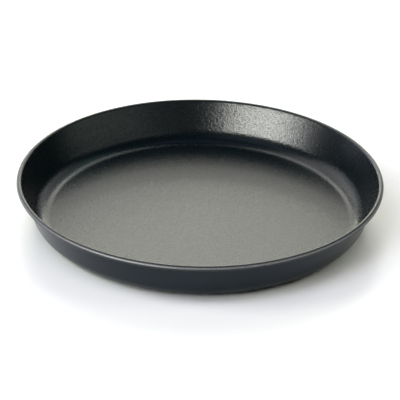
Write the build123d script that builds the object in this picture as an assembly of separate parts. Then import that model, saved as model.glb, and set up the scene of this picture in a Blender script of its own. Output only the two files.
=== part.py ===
from build123d import *
import math
import os

# A round pizza pan. One steel sheet, with a baked coat on each face, is pressed into a low
# dish with a flared wall, and its edge is curled outward round a steel wire. Lengths are in
# millimetres. The origin is the middle of the base, on the surface that the pan stands on,
# and +Z points up.

# The dish
rim_diameter = 320.0  # over the outside of the rolled rim
pan_height = 38.5  # from the table to the top of the rolled rim
wall_flare_degrees = 19.5  # how far the wall leans outward from upright
corner_radius = 16.5  # inside face, between the floor and the wall

# The sheet, from its inside face to its outside face
lining_thickness = 0.15
steel_thickness = 0.7
coat_thickness = 0.15

# The rolled rim
wire_diameter = 2.4
wire_clearance = 0.05  # all round the wire, inside the curl
wire_end_gap = 1.0  # between the two butted ends of the wire
curl_lip_gap = 0.3  # from the sheet's cut edge to the outside of the wall

# Depths below the inside face, square to the sheet
steel_depth = lining_thickness
coat_depth = steel_depth + steel_thickness
sheet_depth = coat_depth + coat_thickness

# The bead is the round section of the rolled rim. The inside face of the wall carries on
# round it, so its outside is the inside face of the sheet.
bead_radius = sheet_depth + wire_clearance + wire_diameter / 2
bead_centre_radius = rim_diameter / 2 - bead_radius
bead_centre_height = pan_height - bead_radius

# The wall's inside face touches the bead's circle where it starts to curl
flare = math.radians(wall_flare_degrees)
wall_top_radius = bead_centre_radius - bead_radius * math.cos(flare)
wall_top_height = bead_centre_height + bead_radius * math.sin(flare)

# The floor and the wall would meet in a sharp corner, and the corner's arc takes the same
# length off both
floor_height = sheet_depth
corner_turn_degrees = 90 - wall_flare_degrees
corner_setback = corner_radius * math.tan(math.radians(corner_turn_degrees) / 2)
sharp_corner_radius = wall_top_radius - (wall_top_height - floor_height) * math.tan(flare)
floor_radius = sharp_corner_radius - corner_setback
wall_length = (wall_top_height - floor_height) / math.cos(flare) - corner_setback

# The curl turns until the cut edge stands its gap off the outside of the wall
curl_turn_degrees = 360 - math.degrees(
    math.acos(1 - (sheet_depth + curl_lip_gap) / bead_radius)
)


def sheet_line(depth):
    # Radius across and height up: floor, corner, wall and curl, at a depth below the
    # inside face. The corner widens with depth and the curl tightens.
    floor_start = (0, floor_height - depth)
    floor = Line(floor_start, (floor_radius, floor_height - depth))
    corner = JernArc(floor @ 1, floor % 1, corner_radius + depth, corner_turn_degrees)
    wall = PolarLine(corner @ 1, wall_length, corner_turn_degrees)
    curl = JernArc(wall @ 1, wall % 1, bead_radius - depth, -curl_turn_degrees)
    return [floor, corner, wall, curl]


def sheet_layer(near_depth, far_depth):
    # One layer of the sheet between two depths, turned about the pan's axis
    near = sheet_line(near_depth)
    far = sheet_line(far_depth)
    cut_edge = Line(near[-1] @ 1, far[-1] @ 1)
    axis_edge = Line(near[0] @ 0, far[0] @ 0)
    section = make_face([*near, cut_edge, *far, axis_edge])
    return revolve(Plane.XZ * section, axis=Axis.Z)


def nonstick_lining():
    # Coat on the inside face, which is also the skin of the rolled rim
    return sheet_layer(0, steel_depth)


def pan_shell():
    # The steel pressing itself
    return sheet_layer(steel_depth, coat_depth)


def outer_coat():
    # Coat on the outside face, which goes with the sheet into the curl
    return sheet_layer(coat_depth, sheet_depth)


def rim_wire():
    # A nearly closed ring, turned so that its butted ends lie at the back
    gap_degrees = math.degrees(wire_end_gap / bead_centre_radius)
    wire = Pos(bead_centre_radius, bead_centre_height) * Circle(wire_diameter / 2)
    ring = revolve(Plane.XZ * wire, axis=Axis.Z, revolution_arc=360 - gap_degrees)
    return Rot(0, 0, 90 + gap_degrees / 2) * ring


os.makedirs("parts", exist_ok=True)
export_step(pan_shell(), "parts/pan_shell.step")
export_step(nonstick_lining(), "parts/nonstick_lining.step")
export_step(outer_coat(), "parts/outer_coat.step")
export_step(rim_wire(), "parts/rim_wire.step")
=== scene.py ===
import math

import bpy
import numpy as np
from mathutils import Matrix, Vector


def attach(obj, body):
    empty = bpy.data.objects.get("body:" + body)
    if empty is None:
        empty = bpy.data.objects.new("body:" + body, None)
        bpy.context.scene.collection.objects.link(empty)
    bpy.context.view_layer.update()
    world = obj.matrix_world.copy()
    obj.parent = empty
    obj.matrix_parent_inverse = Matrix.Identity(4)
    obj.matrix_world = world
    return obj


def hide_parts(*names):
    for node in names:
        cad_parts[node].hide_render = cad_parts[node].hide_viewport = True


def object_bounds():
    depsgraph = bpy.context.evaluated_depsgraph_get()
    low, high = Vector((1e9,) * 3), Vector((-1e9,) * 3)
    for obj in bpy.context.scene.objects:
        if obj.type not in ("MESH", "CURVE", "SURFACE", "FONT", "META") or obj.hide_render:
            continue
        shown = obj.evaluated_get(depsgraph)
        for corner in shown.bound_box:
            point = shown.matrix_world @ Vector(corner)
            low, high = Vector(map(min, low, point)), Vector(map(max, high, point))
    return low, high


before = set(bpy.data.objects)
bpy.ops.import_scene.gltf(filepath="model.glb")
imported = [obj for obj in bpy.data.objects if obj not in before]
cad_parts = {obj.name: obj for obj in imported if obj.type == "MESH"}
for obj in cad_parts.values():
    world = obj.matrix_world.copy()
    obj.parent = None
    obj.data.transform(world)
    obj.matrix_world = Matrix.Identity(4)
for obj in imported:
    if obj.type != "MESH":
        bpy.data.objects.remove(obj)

cadLow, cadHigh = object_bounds()
print("frame loaded, box in metres", [round(side, 4) for side in cadHigh - cadLow])

# The pan is round about Z and stands on z = 0. Lengths are in metres, angles in degrees.
sheet = {
    "wallFlare": 19.5,        # lean of the wall outward from upright
    "cornerRadius": 0.0165,   # inside face, between floor and wall
    "liningThickness": 0.00015,
    "steelThickness": 0.0007,
    "coatThickness": 0.00015,
    "wireDiameter": 0.0024,
    "wireClearance": 0.00005,
    "curlLipGap": 0.0003,     # cut edge to the outside of the wall
}
rimRadius = max(cadHigh.x, cadHigh.y)
panHeight = cadHigh.z
steelDepth = sheet["liningThickness"]
coatDepth = steelDepth + sheet["steelThickness"]
sheetDepth = coatDepth + sheet["coatThickness"]
beadRadius = sheetDepth + sheet["wireClearance"] + sheet["wireDiameter"] / 2
beadCentre = np.array([rimRadius - beadRadius, panHeight - beadRadius])
flare = math.radians(sheet["wallFlare"])
wallUp = np.array([math.sin(flare), math.cos(flare)])       # along the wall, radius and height
wallOut = np.array([math.cos(flare), -math.sin(flare)])     # square to the wall
wallTop = beadCentre - beadRadius * wallOut
cornerTurn = math.pi / 2 - flare
cornerSetback = sheet["cornerRadius"] * math.tan(cornerTurn / 2)
floorRadius = wallTop[0] - (wallTop[1] - sheetDepth) * math.tan(flare) - cornerSetback
wallLength = (wallTop[1] - sheetDepth) / math.cos(flare) - cornerSetback
curlTurn = 2 * math.pi - math.acos(1 - (sheetDepth + sheet["curlLipGap"]) / beadRadius)

# Points of the meshes round the pan and along each stretch of its profile
grid = {"around": 512, "floor": 12, "corner": 22, "wall": 10, "curl": 44}
sharpAngle = 40               # an edge that bends more than this is shaded as a sharp one


def sheetLine(depth):
    # A profile at a depth below the inside face, as radius and height: straight out along the
    # floor, an arc of cornerRadius + depth, straight up the wall, an arc of beadRadius - depth
    floorRun = np.linspace(0, floorRadius, grid["floor"], endpoint=False)
    floor = np.stack([floorRun, np.full_like(floorRun, sheetDepth - depth)], 1)
    turn = np.linspace(0, cornerTurn, grid["corner"], endpoint=False)[:, None]
    cornerCentre = np.array([floorRadius, sheetDepth + sheet["cornerRadius"]])
    corner = cornerCentre + (sheet["cornerRadius"] + depth) * np.hstack([np.sin(turn), -np.cos(turn)])
    wallRun = np.linspace(wallLength, 0, grid["wall"], endpoint=False)[:, None]
    wall = wallTop + depth * wallOut - wallRun * wallUp
    bend = np.linspace(0, curlTurn, grid["curl"])[:, None]
    curl = beadCentre + (beadRadius - depth) * (np.sin(bend) * wallUp - np.cos(bend) * wallOut)
    return np.vstack([floor, corner, wall, curl])


def turnedLayer(name, nearDepth, farDepth):
    # The closed skin between two depths, turned about Z: (radius cos a, radius sin a, height),
    # with one point at each pole. Near face first, then the cut edge, then the far face back in.
    profile = np.vstack([sheetLine(nearDepth), sheetLine(farDepth)[::-1]])
    ringRadius, ringHeight = profile[1:-1, 0], profile[1:-1, 1]
    around = np.arange(grid["around"]) * 2 * np.pi / grid["around"]
    rings = np.stack([
        np.outer(ringRadius, np.cos(around)),
        np.outer(ringRadius, np.sin(around)),
        np.repeat(ringHeight[:, None], grid["around"], 1),
    ], -1).reshape(-1, 3)
    poles = np.array([[0, 0, profile[0, 1]], [0, 0, profile[-1, 1]]])
    step = np.arange(grid["around"])
    after = (step + 1) % grid["around"]
    here = np.arange(len(ringRadius) - 1)[:, None] * grid["around"]
    there = here + grid["around"]
    quads = np.stack([here + step, there + step, there + after, here + after], -1).reshape(-1, 4)
    nearPole, farPole = len(rings), len(rings) + 1
    lastRing = len(rings) - grid["around"]
    nearFan = np.stack([np.full_like(step, nearPole), step, after], 1)
    farFan = np.stack([np.full_like(step, farPole), lastRing + after, lastRing + step], 1)
    return meshPiece(name, np.vstack([rings, poles]), [quads, nearFan, farFan])


def meshPiece(name, points, faceArrays):
    # Points and faces as whole arrays, put in through foreach_set, shaded smooth with the
    # edges of the cut left sharp
    mesh = bpy.data.meshes.new(name)
    corners = np.concatenate([faces.ravel() for faces in faceArrays]).astype(np.int32)
    sizes = np.concatenate([np.full(len(faces), faces.shape[1]) for faces in faceArrays])
    starts = (np.cumsum(sizes) - sizes).astype(np.int32)
    mesh.vertices.add(len(points))
    mesh.vertices.foreach_set("co", points.astype(np.float32).ravel())
    mesh.loops.add(len(corners))
    mesh.loops.foreach_set("vertex_index", corners)
    mesh.polygons.add(len(sizes))
    mesh.polygons.foreach_set("loop_start", starts)
    mesh.update(calc_edges=True)
    mesh.validate()
    mesh.shade_smooth()
    mesh.set_sharp_from_angle(angle=math.radians(sharpAngle))
    piece = bpy.data.objects.new(name, mesh)
    bpy.context.scene.collection.objects.link(piece)
    return piece


def addAlongProfile(piece, name, share):
    # One value for each ring of a turned layer, the same all round and on both faces, as a
    # point attribute
    bothFaces = np.concatenate([share, share[::-1]])
    values = np.concatenate([np.repeat(bothFaces[1:-1], grid["around"]), bothFaces[[0, -1]]])
    attribute = piece.data.attributes.new(name, "FLOAT", "POINT")
    attribute.data.foreach_set("value", values.astype(np.float32))


def newMaterial(name):
    material = bpy.data.materials.new(name)
    material.use_nodes = True
    return material, material.node_tree, material.node_tree.nodes["Principled BSDF"]


def addNoise(tree, look):
    # Noise on object coordinates, with lumps about one size across, in metres
    place = tree.nodes.new("ShaderNodeTexCoord")
    noise = tree.nodes.new("ShaderNodeTexNoise")
    noise.inputs["Scale"].default_value = 1 / look["size"]
    noise.inputs["Detail"].default_value = look["detail"]
    noise.inputs["Roughness"].default_value = look["roughness"]
    tree.links.new(place.outputs["Object"], noise.inputs["Vector"])
    return noise.outputs["Fac"]


def readAttribute(tree, name):
    attribute = tree.nodes.new("ShaderNodeAttribute")
    attribute.attribute_name = name
    return attribute.outputs["Fac"]


def spread(tree, source, span, wanted):
    # Stretches the given span of a value over the wanted one, and stops at its ends
    remap = tree.nodes.new("ShaderNodeMapRange")
    remap.inputs["From Min"].default_value = span[0]
    remap.inputs["From Max"].default_value = span[1]
    remap.inputs["To Min"].default_value = wanted[0]
    remap.inputs["To Max"].default_value = wanted[1]
    tree.links.new(source, remap.inputs["Value"])
    return remap.outputs["Result"]


def blend(tree, kind, factor, first, second):
    # From first to second by the factor: colours for the kind RGBA, numbers for FLOAT
    mix = tree.nodes.new("ShaderNodeMix")
    mix.data_type = kind
    tree.links.new(factor, mix.inputs["Factor"])
    for socket, value in ((mix.inputs["A"], first), (mix.inputs["B"], second)):
        if isinstance(value, bpy.types.NodeSocket):
            tree.links.new(value, socket)
        else:
            socket.default_value = value
    return mix.outputs["Result"]


def addBump(tree, height, depth, under=None, strength=None):
    bump = tree.nodes.new("ShaderNodeBump")
    bump.inputs["Distance"].default_value = depth
    bump.inputs["Strength"].default_value = 1
    tree.links.new(height, bump.inputs["Height"])
    if strength is not None:
        tree.links.new(strength, bump.inputs["Strength"])
    if under is not None:
        tree.links.new(under, bump.inputs["Normal"])
    return bump.outputs["Normal"]


def dress(piece, material):
    piece.data.materials.clear()
    piece.data.materials.append(material)


# Turns are degrees round the curl, from the top of the inside wall. Of a noise, the span is
# the part of its range that is used, and the depth is that of its bumps.
lining = {
    "dark": (0.0008, 0.0036, 0.0048, 1),
    "light": (0.0018, 0.0052, 0.0066, 1),
    "clouds": {"size": 0.045, "detail": 3, "roughness": 0.5, "span": (0.1, 0.9)},
    "satin": (0.225, 0.295),  # roughness of the gloss
    "ior": 1.36,              # fluoropolymer coats bend light less than paint does
    "peel": {"size": 0.0017, "detail": 2, "roughness": 0.5, "depth": 0.00017},
    "grain": {"size": 0.0014, "detail": 1, "roughness": 0.5, "span": (0.2, 0.8), "depth": 0.00017},
    "levelled": 0.15,         # share of the texture left on the floor and round the curl
    "sprayTurns": (0, 34.3),  # where the texture of the wall dies out
    # A paler band painted round the outer side of the rolled rim is a painted highlight line, broken into
    # patches by noise
    "paintedHighlight": (0.2, 0.2, 0.205, 1),
    "highlightTurns": (104, 122, 146, 168),   # fades in, full, full, faded out
    "marks": {"size": 0.0012, "detail": 3, "roughness": 0.6, "span": (0.25, 0.75)},
    "highlightPatchiness": (0.5, 1),
    "rubbedTurns": (10, 45),  # where the rolled rim turns duller
    "rubbedRoughness": 0.4,
}


def curlShare(turns, shares):
    # A share for each ring of a profile: none inside the pan, and on the curl straight
    # between the turns
    inside = np.zeros(grid["floor"] + grid["corner"] + grid["wall"])
    bend = np.degrees(np.linspace(0, curlTurn, grid["curl"]))
    return np.concatenate([inside, np.interp(bend, turns, shares)])


def sprayShare():
    # How full the orange peel is for each ring of a profile: none on the level floor, rising up
    # the corner to all on the wall, and drawn out again at the start of the curl
    share = curlShare(lining["sprayTurns"], (1, 0))
    cornerStart = grid["floor"]
    wallStart = cornerStart + grid["corner"]
    share[cornerStart:wallStart] = np.linspace(0, 1, grid["corner"], endpoint=False)
    share[wallStart:wallStart + grid["wall"]] = 1
    return share


def liningFinish():
    # Baked non-stick coat: charcoal with faint clouds, satin, with orange peel and a finer
    # grain. A paler band in patches round the outer side of the rolled rim is a painted highlight; all of the
    # rim is duller.
    material, tree, shader = newMaterial("nonstickCoat")
    clouds = spread(tree, addNoise(tree, lining["clouds"]), lining["clouds"]["span"], (0, 1))
    tone = blend(tree, "RGBA", clouds, lining["dark"], lining["light"])
    # The painted highlight: a paler colour in patches round the outer side of the curl
    marks = spread(tree, addNoise(tree, lining["marks"]), lining["marks"]["span"], lining["highlightPatchiness"])
    patchyHighlight = tree.nodes.new("ShaderNodeMath")
    patchyHighlight.operation = "MULTIPLY"
    tree.links.new(readAttribute(tree, "paintedHighlightShare"), patchyHighlight.inputs[0])
    tree.links.new(marks, patchyHighlight.inputs[1])
    withPaintedHighlight = blend(tree, "RGBA", patchyHighlight.outputs["Value"], tone, lining["paintedHighlight"])
    tree.links.new(withPaintedHighlight, shader.inputs["Base Color"])
    grain = addNoise(tree, lining["grain"])
    satin = spread(tree, grain, lining["grain"]["span"], lining["satin"])
    dulled = blend(tree, "FLOAT", readAttribute(tree, "rubbed"), satin, lining["rubbedRoughness"])
    tree.links.new(dulled, shader.inputs["Roughness"])
    shader.inputs["IOR"].default_value = lining["ior"]
    texture = readAttribute(tree, "sprayTexture")
    strength = spread(tree, texture, (0, 1), (lining["levelled"], 1))
    peel = addNoise(tree, lining["peel"])
    peelBump = addBump(tree, peel, lining["peel"]["depth"], strength=strength)
    grainBump = addBump(tree, grain, lining["grain"]["depth"], peelBump, strength)
    tree.links.new(grainBump, shader.inputs["Normal"])
    return material


liningPiece = turnedLayer("nonstickLining", 0, steelDepth)
addAlongProfile(liningPiece, "sprayTexture", sprayShare())
# Where the painted highlight lies round the curl
addAlongProfile(liningPiece, "paintedHighlightShare", curlShare(lining["highlightTurns"], (0, 1, 1, 0)))
addAlongProfile(liningPiece, "rubbed", curlShare(lining["rubbedTurns"], (0, 1)))
dress(liningPiece, liningFinish())
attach(liningPiece, "root")
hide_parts("nonstick_lining")
print("inside coat made")

outerCoat = {
    "dark": (0.0010, 0.0042, 0.0090, 1),
    "light": (0.0020, 0.0060, 0.0120, 1),
    "clouds": {"size": 0.06, "detail": 3, "roughness": 0.5, "span": (0.1, 0.9)},
    "satin": (0.22, 0.28),
    "ior": 1.31,
    "glossTint": (0.78, 0.92, 1, 1),
    "peel": {"size": 0.004, "detail": 2, "roughness": 0.5, "depth": 0.00003},
}


def outerFinish():
    # Baked outside coat: blue-black satin, smoother than the lining
    material, tree, shader = newMaterial("outerCoat")
    clouds = addNoise(tree, outerCoat["clouds"])
    span = outerCoat["clouds"]["span"]
    tone = blend(tree, "RGBA", spread(tree, clouds, span, (0, 1)), outerCoat["dark"], outerCoat["light"])
    tree.links.new(tone, shader.inputs["Base Color"])
    tree.links.new(spread(tree, clouds, span, outerCoat["satin"]), shader.inputs["Roughness"])
    shader.inputs["IOR"].default_value = outerCoat["ior"]
    shader.inputs["Specular Tint"].default_value = outerCoat["glossTint"]
    peel = addNoise(tree, outerCoat["peel"])
    tree.links.new(addBump(tree, peel, outerCoat["peel"]["depth"]), shader.inputs["Normal"])
    return material


outerPiece = turnedLayer("outerCoat", coatDepth, sheetDepth)
dress(outerPiece, outerFinish())
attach(outerPiece, "root")
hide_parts("outer_coat")
print("outside coat made")

pressedSteel = {
    "tone": (0.42, 0.42, 0.43),
    "darkShare": 0.7,         # of the tone, in the darkest marks
    "marks": {"size": 0.0008, "detail": 4, "roughness": 0.6, "span": (0.3, 0.7)},
    "gloss": (0.35, 0.5),     # roughness
}
wireSteel = {
    "tone": (0.5, 0.5, 0.5),
    "darkShare": 0.7,
    "marks": {"size": 0.0008, "detail": 4, "roughness": 0.6, "span": (0.3, 0.7)},
    "gloss": (0.25, 0.4),
}


def steelFinish(name, steel):
    # Bare steel: fine rolling or drawing marks in the tone and the gloss
    material, tree, shader = newMaterial(name)
    shader.inputs["Metallic"].default_value = 1
    marks = addNoise(tree, steel["marks"])
    darkTone = (*[steel["darkShare"] * part for part in steel["tone"]], 1)
    tone = blend(tree, "RGBA", marks, darkTone, (*steel["tone"], 1))
    tree.links.new(tone, shader.inputs["Base Color"])
    gloss = spread(tree, marks, steel["marks"]["span"], steel["gloss"])
    tree.links.new(gloss, shader.inputs["Roughness"])
    return material


dress(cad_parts["pan_shell"], steelFinish("pressedSteel", pressedSteel))
dress(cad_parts["rim_wire"], steelFinish("wireSteel", wireSteel))
print("steel pressing and rim wire dressed")

table = {"radius": 1.0, "around": 96, "colour": (0.92, 0.92, 0.92, 1), "roughness": 0.35}


def paleFloor():
    # A flat disc at z = 0: (radius cos a, radius sin a, 0), closed with one point in the middle
    around = np.arange(table["around"]) * 2 * np.pi / table["around"]
    rim = table["radius"] * np.stack([np.cos(around), np.sin(around), np.zeros_like(around)], 1)
    step = np.arange(table["around"])
    after = (step + 1) % table["around"]
    fan = np.stack([np.full_like(step, len(rim)), step, after], 1)
    piece = meshPiece("paleFloor", np.vstack([rim, np.zeros(3)]), [fan])
    material, tree, shader = newMaterial("paleTable")
    shader.inputs["Base Color"].default_value = table["colour"]
    shader.inputs["Roughness"].default_value = table["roughness"]
    dress(piece, material)


# Each softbox faces the pan. Its spot is a bearing, from straight behind the pan round towards
# its right as seen from above, and an elevation from the table. Its span is how far it reaches
# across and up as seen from the pan. All are in degrees. A colour that isn't given is white.
# Cards show only as reflections in the gloss, and washes light only matt surfaces.
cards = {
    "frontLeftBox": {"spot": (220, 10.5), "span": (42, 11), "radiance": 52, "colour": (1.0, 1.01, 0.95)},
    "frontLeftEdge": {"spot": (247, 11), "span": (12, 11), "radiance": 19},
    "frontLeftFar": {"spot": (260, 6), "span": (22, 8), "radiance": 2.6, "colour": (0.95, 0.98, 1.05)},
    "frontHighBox": {"spot": (235, 57), "span": (40, 20), "radiance": 0.54, "colour": (0.76, 0.92, 1.33)},
    "backLeftLow": {"spot": (306, 9), "span": (38, 12), "radiance": 2.8, "colour": (0.9, 0.95, 1.15)},
    "backLeftBase": {"spot": (334, 9), "span": (18, 6), "radiance": 9.5},
    "backLeftMid": {"spot": (312, 30), "span": (50, 24), "radiance": 2.65},
    "backLeftHigh": {"spot": (325, 53), "span": (50, 18), "radiance": 2.35},
    "backStripLow": {"spot": (352, 13), "span": (16, 6), "radiance": 16, "colour": (1.1, 1.1, 0.8)},
    "backStripMid": {"spot": (352, 19), "span": (16, 6), "radiance": 6.0, "colour": (1.02, 1.03, 0.95)},
    "stripLowRight": {"spot": (7, 13), "span": (14, 6), "radiance": 8.5},
    "stripMidRight": {"spot": (7, 19), "span": (14, 6), "radiance": 7.4, "colour": (1.05, 1.05, 0.9)},
    "backMidLow": {"spot": (0, 25), "span": (28, 6), "radiance": 1.5, "colour": (1.02, 1.03, 0.92)},
    "backMidHigh": {"spot": (0, 31), "span": (22, 6), "radiance": 3.3, "colour": (1.02, 1.03, 0.93)},
    "backHighBox": {"spot": (0, 38), "span": (20, 8), "radiance": 7.4, "colour": (1.03, 1.01, 0.95)},
    "backTopBox": {"spot": (0, 50), "span": (30, 16), "radiance": 3.0, "colour": (1.04, 1.01, 0.93)},
    "backRightBase": {"spot": (28, 9), "span": (26, 6), "radiance": 3.5},
    "backRightLow": {"spot": (28, 18), "span": (26, 12), "radiance": 1.7},
    "backRightMid": {"spot": (38, 32), "span": (40, 18), "radiance": 0.95},
    "backRightHigh": {"spot": (30, 51), "span": (40, 16), "radiance": 0.7, "colour": (0.7, 1.15, 1.1)},
    "rightStrip": {"spot": (110, 9), "span": (60, 8), "radiance": 2.6, "colour": (0.94, 1.06, 0.97)},
    "rightHigh": {"spot": (125, 30), "span": (60, 16), "radiance": 1.1},
    "frontRightStrip": {"spot": (155, 10), "span": (40, 8), "radiance": 0.8},
    "topPanel": {"spot": (0, 82), "span": (30, 14), "radiance": 0.4, "colour": (0.82, 0.8, 1.38)},
}
washes = {
    "washFrontHigh": {"spot": (180, 70), "span": (40, 16), "radiance": 3.2, "colour": (1.02, 0.98, 1.0)},
    "washFrontLeft": {"spot": (225, 35), "span": (30, 20), "radiance": 5.6, "colour": (1.0, 1.02, 0.98)},
    "washFrontLeftHigh": {"spot": (225, 60), "span": (30, 20), "radiance": 4.7, "colour": (0.89, 0.93, 1.18)},
    "washFrontRight": {"spot": (135, 50), "span": (30, 20), "radiance": 0.6},
    "washLeft": {"spot": (265, 38), "span": (20, 20), "radiance": 9.6, "colour": (1.03, 1.05, 0.92)},
    "washRight": {"spot": (95, 38), "span": (20, 20), "radiance": 4.2, "colour": (1.05, 1.07, 0.88)},
    "washRightHigh": {"spot": (90, 62), "span": (30, 20), "radiance": 1.1, "colour": (0.92, 0.94, 1.14)},
    "washBackRight": {"spot": (45, 40), "span": (20, 20), "radiance": 2.6, "colour": (1.08, 1.12, 0.8)},
}
studio = {
    "boxDistance": 2.0,
    "background": (0.95, 0.97, 1.0, 1),
}


def softbox(name, box, isCard):
    bearing, elevation = [math.radians(angle) for angle in box["spot"]]
    level = math.cos(elevation)
    towards = Vector((math.sin(bearing) * level, math.cos(bearing) * level, math.sin(elevation)))
    across, up = [2 * studio["boxDistance"] * math.tan(math.radians(angle) / 2) for angle in box["span"]]
    light = bpy.data.lights.new(name, "AREA")
    light.shape = "RECTANGLE"
    light.size = across
    light.size_y = up
    light.color = box.get("colour", (1, 1, 1))
    light.energy = box["radiance"] * math.pi * light.size * light.size_y
    lamp = bpy.data.objects.new(name, light)
    lamp.location = towards * studio["boxDistance"]
    lamp.rotation_euler = towards.to_track_quat("Z", "Y").to_euler()
    lamp.visible_camera = False
    lamp.visible_diffuse = not isCard
    lamp.visible_glossy = isCard
    bpy.context.scene.collection.objects.link(lamp)


def paleBackground():
    # Plain and pale, seen only by the camera, so that the boxes alone light the pan
    world = bpy.data.worlds.new("studio")
    bpy.context.scene.world = world
    world.use_nodes = True
    world.node_tree.nodes["Background"].inputs["Color"].default_value = studio["background"]
    world.cycles_visibility.diffuse = False
    world.cycles_visibility.glossy = False


paleFloor()
for cardName, card in cards.items():
    softbox(cardName, card, True)
for washName, wash in washes.items():
    softbox(washName, wash, False)
paleBackground()
bpy.context.scene.view_settings.view_transform = "Standard"
print("floor and lights made")

cameraView = {
    "distance": 1.5,          # from the middle of the rim
    "elevation": 27.34,       # above the table
    "roll": 0.99,
    "lens": 154.24,           # mm on a 36 mm wide sensor
    "target": (0.00015, 0, 0.01392),
}


def placeCamera():
    elevation = math.radians(cameraView["elevation"])
    rimMiddle = Vector((0, 0, beadCentre[1]))
    away = Vector((0, -math.cos(elevation), math.sin(elevation)))
    spot = rimMiddle + cameraView["distance"] * away
    forward = (Vector(cameraView["target"]) - spot).normalized()
    right = forward.cross(Vector((0, 0, 1))).normalized()
    up = right.cross(forward)
    turn = Matrix.Rotation(math.radians(cameraView["roll"]), 3, "Z")
    axes = Matrix([right, up, -forward]).transposed() @ turn
    data = bpy.data.cameras.new("photoCamera")
    data.lens = cameraView["lens"]
    camera = bpy.data.objects.new("photoCamera", data)
    camera.matrix_world = Matrix.Translation(spot) @ axes.to_4x4()
    bpy.context.scene.collection.objects.link(camera)
    bpy.context.scene.camera = camera


placeCamera()
print("camera placed")
